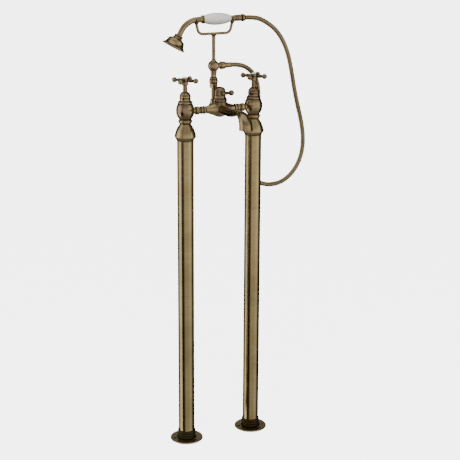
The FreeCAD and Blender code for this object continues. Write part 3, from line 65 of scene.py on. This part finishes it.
# --- Shower hose --------------------------------------------------------------------------
# A ribbed metal hose: a strip of brass wound into a flexible tube, 11.6 mm thick. It leaves the
# tee to the right, drops behind the right-hand pipe and loops back up to the handset. Its ribs
# are spun as one straight tube, which is then laid along the route.
HOSE_LINE = [
    (0.046, 0.038, 0.950), (0.0615, 0.038, 0.950), (0.0825, 0.0383, 0.9447),
    (0.1016, 0.0392, 0.9318), (0.1158, 0.041, 0.9121), (0.1233, 0.0434, 0.8856),
    (0.1245, 0.0456, 0.850), (0.117, 0.047, 0.803), (0.106, 0.047, 0.760),
    (0.098, 0.0465, 0.720), (0.098, 0.046, 0.6847), (0.1106, 0.0455, 0.659),
    (0.1331, 0.045, 0.6414), (0.161, 0.0445, 0.6354), (0.192, 0.044, 0.640),
    (0.220, 0.0435, 0.659), (0.240, 0.043, 0.688), (0.250, 0.0425, 0.722),
    (0.250, 0.042, 0.760), (0.243, 0.042, 0.800), (0.231, 0.0415, 0.842),
    (0.221, 0.041, 0.884), (0.213, 0.0405, 0.926), (0.203, 0.040, 0.967),
    (0.188, 0.0395, 1.002), (0.166, 0.039, 1.0315), (0.138, 0.0385, 1.0515),
    (0.111, 0.038, 1.063), (0.0828, 0.038, 1.063),
]
HOSE_RADIUS = 0.0058
HOSE_RIB_PITCH = 0.0026
HOSE_RIB_DEPTH = 0.00055
HOSE_SIDES = 20
# One rib: how far along its pitch, and how far down into the groove.
HOSE_RIB = [(0.0, 1.0), (0.12, 0.35), (0.24, 0.0), (0.62, 0.0), (0.8, 0.35)]
KEYS_PER_METRE = 1e4


def smooth_line(points, name):
    """The points of one NURBS spline that has these points as its control points."""
    curve = bpy.data.curves.new(name, "CURVE")
    curve.dimensions = "3D"
    spline = curve.splines.new("NURBS")
    spline.points.add(len(points) - 1)
    for control, place in zip(spline.points, points):
        control.co = (*place, 1)
    spline.order_u = 3
    spline.use_endpoint_u = True
    spline.resolution_u = 24
    carrier = bpy.data.objects.new(name, curve)
    bpy.context.scene.collection.objects.link(carrier)
    bpy.context.view_layer.update()
    traced = bpy.data.meshes.new_from_object(carrier)
    places = [vertex.co.copy() for vertex in traced.vertices]
    bpy.data.objects.remove(carrier)
    bpy.data.meshes.remove(traced)
    return places


def lengths_along(line):
    """How far along the line each of its points is."""
    reached = [0.0]
    for before, after in zip(line, line[1:]):
        reached.append(reached[-1] + (after - before).length)
    return reached


def point_along(line, reached, distance, start):
    """The place and direction at a distance along the line, and the stretch it is on."""
    while start < len(line) - 2 and reached[start + 1] < distance:
        start += 1
    way = line[start + 1] - line[start]
    share = (distance - reached[start]) / max(way.length, 1e-9)
    before = line[max(start - 1, 0)]
    after = line[min(start + 2, len(line) - 1)]
    tilt_in = (line[start + 1] - before).normalized()
    tilt_out = (after - line[start]).normalized()
    return line[start] + way * share, tilt_in.lerp(tilt_out, share).normalized(), start


def ribbed_hose():
    line = smooth_line(HOSE_LINE, "hose_line")
    reached = lengths_along(line)
    total = reached[-1]
    count = round(total / HOSE_RIB_PITCH)
    stations = [((rib + step) * total / count, dip)
                for rib in range(count) for step, dip in HOSE_RIB]
    stations.append((total, 1.0))
    mesh = bmesh.new()
    profile_line = [mesh.verts.new((HOSE_RADIUS - HOSE_RIB_DEPTH * dip, 0, distance))
                    for distance, dip in stations]
    strips = [mesh.edges.new(pair) for pair in zip(profile_line, profile_line[1:])]
    bmesh.ops.spin(mesh, geom=profile_line + strips, cent=(0, 0, 0), axis=(0, 0, 1),
                   angle=2 * math.pi, steps=HOSE_SIDES, use_merge=True)
    ends = [edge for edge in mesh.edges if edge.is_boundary]
    bmesh.ops.holes_fill(mesh, edges=ends, sides=HOSE_SIDES)
    places = {}
    stretch = 0
    side = Vector((0, 1, 0))
    for distance, dip in stations:
        place, way, stretch = point_along(line, reached, distance, stretch)
        side = (side - way * side.dot(way)).normalized()
        places[round(distance * KEYS_PER_METRE)] = place, side, way.cross(side)
    for corner in mesh.verts:
        place, side, other = places[round(corner.co.z * KEYS_PER_METRE)]
        corner.co = place + side * corner.co.x + other * corner.co.y
    bmesh.ops.recalc_face_normals(mesh, faces=mesh.faces)
    for face in mesh.faces:
        face.smooth = len(face.verts) == 4
    hose = new_piece("hose", mesh)
    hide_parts("shower_hose")
    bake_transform(hose)
    return hose


def new_piece(name, mesh):
    """A finished bmesh becomes an object at the origin."""
    data = bpy.data.meshes.new(name)
    mesh.to_mesh(data)
    mesh.free()
    piece = bpy.data.objects.new(name, data)
    bpy.context.scene.collection.objects.link(piece)
    return piece


hose = ribbed_hose()


# --- Floor and light ----------------------------------------------------------------------
# A plain white floor without an edge, lit evenly so that it shows no shadow line. Round the
# object stand pale studio walls with black cloths between them: polished brass shows them as a
# bright strip on its left, a narrow dark line, a broad tan face and a dark right edge.
class Wire:
    """A socket's value in a shader tree, with arithmetic that adds Math nodes."""

    def __init__(self, finish, socket):
        self.finish = finish
        self.socket = socket

    def maths(self, operation, first, second=0.0):
        return self.finish.node("ShaderNodeMath", {"operation": operation},
                                {0: first, 1: second})

    def __add__(self, other):
        return self.maths("ADD", self, other)

    def __sub__(self, other):
        return self.maths("SUBTRACT", self, other)

    def __rsub__(self, other):
        return self.maths("SUBTRACT", other, self)

    def __mul__(self, other):
        return self.maths("MULTIPLY", self, other)

    def __abs__(self):
        return self.maths("ABSOLUTE", self)

    def __or__(self, other):
        return self.maths("MAXIMUM", self, other)

    def root(self):
        return self.maths("SQRT", self)

    __radd__ = __add__
    __rmul__ = __mul__


class Shading:
    """A tree of shader nodes, built up node by node."""

    def __init__(self, tree):
        self.tree = tree

    def fill(self, node, inputs):
        for key, given in inputs.items():
            if isinstance(given, Wire):
                self.tree.links.new(given.socket, node.inputs[key])
            else:
                node.inputs[key].default_value = given

    def node(self, kind, settings=None, inputs=None, out=0):
        """Add a node: its settings first, then the values or wires of its sockets."""
        node = self.tree.nodes.new(kind)
        for key, given in (settings or {}).items():
            if key == "stops":
                ramp = node.color_ramp.elements
                while len(ramp) < len(given):
                    ramp.new(0.5)
                for stop, (at, colour) in zip(ramp, given):
                    stop.position = at
                    stop.color = colour
            else:
                setattr(node, key, given)
        self.fill(node, inputs or {})
        return Wire(self, node.outputs[out])

    def axes(self, vector):
        """The x, y and z of a vector, each as a wire."""
        return [self.node("ShaderNodeSeparateXYZ", {}, {"Vector": vector}, out=axis)
                for axis in "XYZ"]

    def between(self, value, low, high):
        """0 below low, 1 above high, and smooth between."""
        return self.node("ShaderNodeMapRange", {"interpolation_type": "SMOOTHSTEP"},
                         {"Value": value, "From Min": low, "From Max": high})

    def blend(self, share, first, second):
        """From one colour to another by a share from 0 to 1."""
        mix = self.tree.nodes.new("ShaderNodeMix")
        mix.data_type = "RGBA"
        colours = [socket for socket in mix.inputs if socket.type == "RGBA"]
        self.fill(mix, {0: share})
        for socket, given in zip(colours, (first, second)):
            if isinstance(given, Wire):
                self.tree.links.new(given.socket, socket)
            else:
                socket.default_value = given
        return Wire(self, [socket for socket in mix.outputs if socket.type == "RGBA"][0])


class Finish(Shading):
    """One material on Object coordinates."""

    def __init__(self, name):
        self.material = bpy.data.materials.new(name)
        self.material.use_nodes = True
        super().__init__(self.material.node_tree)
        self.tree.nodes.clear()
        output = self.tree.nodes.new("ShaderNodeOutputMaterial")
        self.surface = self.tree.nodes.new("ShaderNodeBsdfPrincipled")
        self.tree.links.new(self.surface.outputs[0], output.inputs["Surface"])
        self.place = self.node("ShaderNodeTexCoord", out="Object")

    def noise(self, scale, detail=3.0, roughness=0.55, vector=None):
        return self.node("ShaderNodeTexNoise", {},
                         {"Vector": vector or self.place, "Scale": scale, "Detail": detail,
                          "Roughness": roughness}, out="Fac")

    def stretched(self, x, y, z):
        return self.node("ShaderNodeMapping", {}, {"Vector": self.place, "Scale": (x, y, z)})

    def bump(self, height, distance, strength=1.0):
        return self.node("ShaderNodeBump", {},
                         {"Height": height, "Distance": distance, "Strength": strength})

    def finished(self, **sockets):
        for key, given in sockets.items():
            self.fill(self.surface, {key.replace("_", " ").title(): given})
        return self.material


FLOOR_GLOW = 4.5
FLOOR_SIZE = 40
FLOOR_DROP = 0.0002


def studio_floor():
    finish = Finish("studio_floor")
    finish.finished(base_color=(0.9, 0.9, 0.9, 1), roughness=0.9,
                    emission_color=(1, 1, 1, 1), emission_strength=FLOOR_GLOW)
    mesh = bmesh.new()
    bmesh.ops.create_grid(mesh, x_segments=2, y_segments=2, size=FLOOR_SIZE)
    bmesh.ops.translate(mesh, verts=mesh.verts, vec=(0, FLOOR_SIZE / 2, -FLOOR_DROP))
    floor = new_piece("studio_floor", mesh)
    floor.data.materials.append(finish.material)
    floor.visible_glossy = False
    floor.visible_diffuse = False


# Brightness of the walls, by degrees to the right of the way to the front.
WALLS = [(-180, 0.25), (-171, 0.25), (-165, 0.04), (-120, 0.0), (-101, 1.2), (-86, 1.75),
         (-62, 1.75), (-14, 0.85), (10, 0.86), (34, 0.9), (52, 1.1), (68, 1.25), (84, 1.1),
         (97, 0.12), (108, 0.02), (165, 0.04), (171, 0.25), (180, 0.25)]
FRONT = (-0.3993, -0.9168)
BLACK_CLOTH = (0.318, 0.343, 0.42, 0.472)  # its edges, in turns from the way to the back
WORLD_STRENGTH = 2.0
LAMP_PLACE = (-0.9, -1.6, 2.6)
LAMP_AIM = (0, 0, 0.9)


def grey(level):
    return (level, level, level, 1)


def studio_light():
    world = bpy.data.worlds.new("studio")
    bpy.context.scene.world = world
    world.use_nodes = True
    sky = Shading(world.node_tree)
    x, y, z = sky.axes(sky.node("ShaderNodeTexCoord", out="Generated"))
    ahead = x * FRONT[0] + y * FRONT[1]
    aside = y * FRONT[0] - x * FRONT[1]
    angle = aside.maths("ARCTAN2", aside, ahead) * (0.5 / math.pi) + 0.5
    walls = sky.node("ShaderNodeValToRGB",
                     {"stops": [(way / 360 + 0.5, grey(level / WORLD_STRENGTH))
                                for way, level in WALLS]}, {0: angle})
    # A black cloth to the left of the front, thinner above the height of the taps.
    cloth = (sky.between(angle, *BLACK_CLOTH[:2]) *
             (1 - sky.between(angle, *BLACK_CLOTH[2:])))
    lower = sky.between(0 - z, 0.14, 0.185) * 0.5 + 0.5
    walls = sky.blend(cloth * lower, walls, grey(0))
    # The walls are dimmer near the floor at the left, above the shoulders and behind.
    low = sky.between(0 - z, 0.285, 0.345) * sky.between(aside, -0.75, -0.6)
    walls = sky.blend(low * 0.42, walls, grey(0))
    walls = sky.blend(sky.between(z, 0.26, 0.46) * 0.42, walls, grey(0))
    behind = sky.between(0 - ahead, 0.1, 0.4) * sky.between(z, 0.3, 0.4)
    walls = sky.blend(behind, walls, grey(0.16))
    walls = sky.blend(behind * sky.between(z, 0.48, 0.56), walls, grey(0.02))
    # The ceiling is grey, and the floor as polished brass shows it is darker.
    walls = sky.blend(sky.between(z, 0.8, 0.93), walls, grey(0.5))
    walls = sky.blend(sky.between(0 - z, 0.56, 0.8), walls, grey(0.14))
    sky.fill(world.node_tree.nodes["Background"], {"Color": walls, "Strength": WORLD_STRENGTH})


def studio_lamp():
    """A broad lamp for the porcelain alone: brass doesn't show it."""
    light = bpy.data.lights.new("lamp", "AREA")
    light.size = 1.6
    light.energy = 44
    lamp = bpy.data.objects.new("lamp", light)
    bpy.context.scene.collection.objects.link(lamp)
    lamp.location = LAMP_PLACE
    lamp.rotation_euler = (Vector(LAMP_AIM) - lamp.location).to_track_quat("-Z", "Y").to_euler()
    lamp.visible_glossy = False


studio_floor()
studio_light()
studio_lamp()


# --- Aged brass pipes ---------------------------------------------------------------------
# Two drawn brass tubes carry everything. They are brushed round and toned to a light tan with
# an olive cloud in it, and darken where the collar and the shroud close on them. The castings
# above are clouded with bronze instead, and umber stands for the dirt in every groove and for
# the painted shade laid on some pieces.
TAN = (0.455, 0.345, 0.162, 1)
OLIVE = (0.355, 0.267, 0.12, 1)
BRONZE = (0.30, 0.208, 0.118, 1)
UMBER = (0.055, 0.038, 0.018, 1)
BRUSH = {"upright": (25, 25, 700), "across": (700, 25, 25), "forward": (25, 700, 25)}


def lines_at(finish, value, places, half):
    """1 on narrow lines at these places along a value, fading out to either side."""
    marks = 1 - finish.between(abs(value - places[0]), 0.25 * half, half)
    for place in places[1:]:
        marks = marks | (1 - finish.between(abs(value - place), 0.25 * half, half))
    return marks


def aged_brass(name, brush, grooves=None, light=TAN, cloud=BRONZE, dirt_and_shade=UMBER, rough=0.2):
    """Toned brass: grooves is a function giving the share of dirt and painted shade at a place.
    """
    finish = Finish(name)
    patches = finish.between(finish.noise(14, 4, 0.6), 0.38, 0.66)
    specks = finish.between(finish.noise(420, 2, 0.5), 0.6, 0.78)
    lines = finish.noise(1.0, 2, 0.6, finish.stretched(*BRUSH[brush]))
    colour = finish.blend(patches, light, cloud)
    colour = finish.blend(finish.between(lines, 0.5, 0.85) * 0.3, colour, dirt_and_shade)
    colour = finish.blend(specks * 0.25, colour, dirt_and_shade)
    roughness = finish.noise(60, 3) * 0.1 + lines * 0.08 + (rough - 0.09)
    if grooves is not None:
        share = grooves(finish)
        # Grooves take dirt; under the turret and on the flange collar the share is painted
        # shade.
        colour = finish.blend(share, colour, dirt_and_shade)
        roughness = roughness + share * 0.3
    grain = finish.bump(lines * 0.5 + specks * -0.4, 0.0001, 0.4)
    return finish.finished(base_color=colour, metallic=1.0, roughness=roughness, normal=grain)


def dress(material, *names):
    """Put one material on CAD nodes, in every slot they have."""
    for name in names:
        for slot in nodes[name].material_slots:
            slot.material = material


def both(*names):
    return [f"{side}_{name}" for side in ("left", "right") for name in names]


def pipe_ends(finish):
    height = finish.axes(finish.place)[2]
    return lines_at(finish, height, (0.0245, 0.7795), 0.0018) * 0.5


dress(aged_brass("brass_pipe", "upright", pipe_ends, cloud=OLIVE), *both("standpipe"))


# --- Tap bodies, shrouds and bonnets ------------------------------------------------------
# Cast and turned pieces stacked on each pipe: the shroud, the bead and the bulb of the mixer
# body, then the ringed bonnet. The polish never reaches into the grooves between them.
BODY_AXIS = 0.851


def body_grooves(finish):
    x, y, height = finish.axes(finish.place)
    stacked = lines_at(finish, height, (0.7815, 0.8222, 0.8328, 0.8699), 0.0019)
    arm = lines_at(finish, abs(x), (0.038, 0.0446, 0.0512, 0.0546, 0.0654), 0.0017)
    elbow = lines_at(finish, y, (0.022,), 0.003) * 0.6
    # Painted shade under the turret: a broad dark ring on the body round its foot.
    turret_foot_shade = (1 - finish.between((x * x + y * y).root(), 0.012, 0.026)) * 0.6
    turret_foot_shade = turret_foot_shade * finish.between(height, 0.852, 0.866)
    arm = arm * (1 - finish.between(abs(height - BODY_AXIS), 0.012, 0.016))
    return (stacked | arm | elbow | turret_foot_shade) * 0.92


def bonnet_grooves(finish):
    height = finish.axes(finish.place)[2]
    sharp = lines_at(finish, height, (0.8701, 0.8766, 0.8848, 0.8899), 0.0016)
    return (sharp | (lines_at(finish, height, (0.8975,), 0.0022) * 0.8)) * 0.9


body_brass = aged_brass("brass_body", "upright", body_grooves)
dress(body_brass, "mixer_body", *both("pipe_shroud"))
dress(aged_brass("brass_bonnet", "upright", bonnet_grooves), *both("bonnet"))


# --- Tap handles --------------------------------------------------------------------------
# A turned spindle carries a cast cross: a hub with four necked arms that end in balls. The arms
# are dark at the neck and at the hub, where fingers don't rub them.
DEEP_TAN = (0.37, 0.275, 0.138, 1)
BROWN = (0.235, 0.165, 0.095, 1)
PIPE_SIDE = 0.09


def around_pipe(finish):
    """The distance from the nearer pipe's axis, and the height."""
    x, y, height = finish.axes(finish.place)
    x = abs(x) - PIPE_SIDE
    return (x * x + y * y).root(), height


def handle_grooves(finish):
    out, height = around_pipe(finish)
    arm = finish.between(out, 0.0092, 0.011) * (1 - finish.between(out, 0.0195, 0.0215))
    necks = lines_at(finish, out, (0.0102, 0.0208), 0.0022) | (arm * 0.6)
    return (necks * finish.between(height, 0.9215, 0.9225) |
            lines_at(finish, height, (0.9142,), 0.0012)) * 0.85


dress(aged_brass("brass_handle", "upright", handle_grooves, DEEP_TAN, BROWN),
      *both("cross_handle", "spindle"))


# --- Diverter -----------------------------------------------------------------------------
# A straight-sided turret with a domed top, screwed on the middle of the body. Its stem comes
# out at the front, and a ball-ended lever is pressed on the stem.
def turret_grooves(finish):
    height = finish.axes(finish.place)[2]
    return lines_at(finish, height, (0.8701, 0.8768, 0.8845), 0.0013) * 0.9


def lever_grooves(finish):
    x, y, height = finish.axes(finish.place)
    hub = (1 - finish.between(x, 0.0155, 0.019)) * 0.7
    return (hub | lines_at(finish, x, (0.0062, 0.0153), 0.0022) |
            lines_at(finish, y, (-0.0147, -0.0226), 0.0011)) * 0.85


# The turret's tan and cloud are darker than on the other castings: painted shade of the recess
# between turret and riser.
dress(aged_brass("brass_turret_painted_shade", "upright", turret_grooves, light=(0.36, 0.262, 0.145, 1),
                 cloud=(0.16, 0.11, 0.065, 1)), "diverter_turret")
dress(aged_brass("brass_lever", "across", lever_grooves, cloud=BROWN), "diverter_lever",
      "diverter_stem")


# --- Spout --------------------------------------------------------------------------------
# A cast swan neck that swells behind the body and flattens at its crest, with a flared round
# mouth. It is dark where it enters the boss and along the lip.
def spout_grooves(finish):
    x, y, height = finish.axes(finish.place)
    return (lines_at(finish, y, (-0.0225,), 0.0022) |
            lines_at(finish, height, (0.8268,), 0.0012)) * 0.9


dress(aged_brass("brass_spout", "forward", spout_grooves), "spout")


# --- Riser, tee and cradle ----------------------------------------------------------------
# A tube with a hexagon lock nut and a round union nut carries the tee. The cradle is bent and
# brazed from round bar, and its stem stands in the top of the tee.
def riser_grooves(finish):
    height = finish.axes(finish.place)[2]
    return lines_at(finish, height, (0.868, 0.8965, 0.9081, 0.9171, 0.9221), 0.0013) * 0.9


def tee_grooves(finish):
    x, y, height = finish.axes(finish.place)
    return (lines_at(finish, y, (0.0288,), 0.0013) |
            lines_at(finish, height, (0.9223, 0.9655), 0.0014)) * 0.9


dress(aged_brass("brass_riser", "upright", riser_grooves, DEEP_TAN, BROWN), "riser_tube",
      "riser_lock_nut", "riser_union_nut")
dress(aged_brass("brass_tee", "forward", tee_grooves), "tee_body", "tee_cap")
dress(aged_brass("brass_cradle", "upright", light=DEEP_TAN, cloud=BROWN), "cradle")


# --- Handset ------------------------------------------------------------------------------
# Turned ferrules hold the porcelain grip, a bent tube carries the head, and the barrel behind
# the grip takes the hose. Dirt sits in the joints along the handset's own axis.
HEAD_FOOT = (0.0888, 1.0282)


def handset_grooves(finish):
    x = finish.axes(finish.place)[0]
    return lines_at(finish, x, (-0.038, -0.0298, 0.0442, 0.0565, 0.061, 0.0715, 0.0735, 0.0825),
                    0.0012) * 0.9


def head_grooves(finish):
    x, y, height = finish.axes(finish.place)
    out = (x + HEAD_FOOT[0]) * -0.5 + (height - HEAD_FOOT[1]) * -0.866
    return (lines_at(finish, out, (0.0, 0.0045, 0.0058), 0.0013) |
            lines_at(finish, out, (0.0296,), 0.001)) * 0.85


dress(aged_brass("brass_handset", "across", handset_grooves), "hose_start_nut",
      "hose_start_ferrule", "hose_end_nut", "rear_ferrule", "front_ferrule", "handset_arm")
dress(aged_brass("brass_head", "upright", head_grooves), "head_ring_nut", "shower_head_bell",
      "rose_plate", "rose_screw")


# --- Hose skin ----------------------------------------------------------------------------
# The wound strip is duller and a little darker than the pipes, with an olive brown cloud in
# it and fine specks of dirt all along.
hose.data.materials.append(aged_brass(
    "brass_hose", "upright", light=(0.37, 0.285, 0.15, 1), cloud=(0.27, 0.2, 0.105, 1),
    rough=0.28))


# --- Floor flanges ------------------------------------------------------------------------
# A cast plate and a ringed collar, darker than the pipe above. The collar is painted almost
# black as painted shade, darkest between the rings, the plate's edge at the floor has a painted
# contact shade, and the three countersunk holes of the screws that hold each plate to the floor
# are darkened.
def flange_dirt_and_shade(finish):
    out, height = around_pipe(finish)
    rings = lines_at(finish, height, (0.0042, 0.011, 0.018, 0.0248), 0.0022)
    # Painted shade: the whole collar is darkened nearly to the dark brown, a little more
    # between its rings.
    collar_shade = (1 - finish.between(out, 0.0238, 0.0256)) * (rings * 0.1 + 0.88)
    screw_circle = finish.between(out, 0.026, 0.0265) * (1 - finish.between(out, 0.035, 0.0355))
    sunk = screw_circle * (1 - finish.between(height, 0.0034, 0.0039))
    # The line at the floor is a painted contact shade under the plate's edge; sunk darkens the
    # holes.
    return collar_shade | (lines_at(finish, height, (0.0,), 0.0012) * 0.9) | sunk


dress(aged_brass("brass_flange", "upright", flange_dirt_and_shade, light=(0.46, 0.355, 0.18, 1),
                 cloud=(0.34, 0.255, 0.125, 1), dirt_and_shade=(0.028, 0.019, 0.008, 1), rough=0.3),
      *both("floor_flange"))


# --- Porcelain ----------------------------------------------------------------------------
# The grip and the two index buttons are slip-cast and glazed white: a hard gloss over a body
# that is a little uneven, with fine grey specks in the glaze.
def porcelain():
    finish = Finish("white_porcelain")
    cloud = finish.between(finish.noise(22, 2), 0.35, 0.7)
    specks = finish.between(finish.noise(700, 2), 0.7, 0.8)
    colour = finish.blend(cloud, (0.84, 0.825, 0.77, 1), (0.77, 0.755, 0.70, 1))
    colour = finish.blend(specks * 0.3, colour, (0.42, 0.40, 0.36, 1))
    wave = finish.bump(finish.noise(45, 2), 0.0004, 0.35)
    return finish.finished(base_color=colour, roughness=finish.noise(80, 2) * 0.1 + 0.1,
                           normal=wave, coat_weight=0.7)


dress(porcelain(), "handset_grip", *both("index_button"))


# --- Hidden pieces ------------------------------------------------------------------------
# Inside: copper supply tails, brass cartridges, lapped ceramic discs, rubber seals and washers,
# and plain steel screws. They show only where a way is open.
def plain_metal(name, colour, worn, rough):
    finish = Finish(name)
    lines = finish.noise(1.0, 2, 0.6, finish.stretched(40, 40, 1100))
    tone = finish.blend(finish.between(finish.noise(30), 0.4, 0.7), colour, worn)
    return finish.finished(base_color=tone, metallic=1.0, roughness=lines * 0.15 + rough,
                           normal=finish.bump(lines, 0.0001, 0.4))


def dull(name, colour, worn, rough, grain):
    finish = Finish(name)
    tone = finish.blend(finish.between(finish.noise(90), 0.4, 0.7), colour, worn)
    fine = finish.noise(grain, 2)
    return finish.finished(base_color=tone, roughness=fine * 0.1 + rough,
                           normal=finish.bump(fine, 0.0001, 0.4))


dress(plain_metal("copper", (0.62, 0.30, 0.18, 1), (0.36, 0.17, 0.1, 1), 0.28),
      *both("supply_tail"))
dress(plain_metal("steel", (0.55, 0.55, 0.55, 1), (0.4, 0.4, 0.41, 1), 0.25),
      "flange_grub_screws", *both("handle_screw"))
dress(plain_metal("inner_brass", (0.62, 0.48, 0.25, 1), (0.48, 0.36, 0.18, 1), 0.25),
      *both("valve_cartridge"), "diverter_cartridge", "handset_core_tube", "spout_insert")
dress(dull("rubber", (0.012, 0.012, 0.012, 1), (0.03, 0.03, 0.03, 1), 0.6, 900),
      "inlet_seals", "riser_washer", "hose_washer", *both("spindle_seal"))
dress(dull("lapped_ceramic", (0.8, 0.8, 0.77, 1), (0.7, 0.7, 0.68, 1), 0.3, 1200),
      *both("fixed_disc", "moving_disc"))
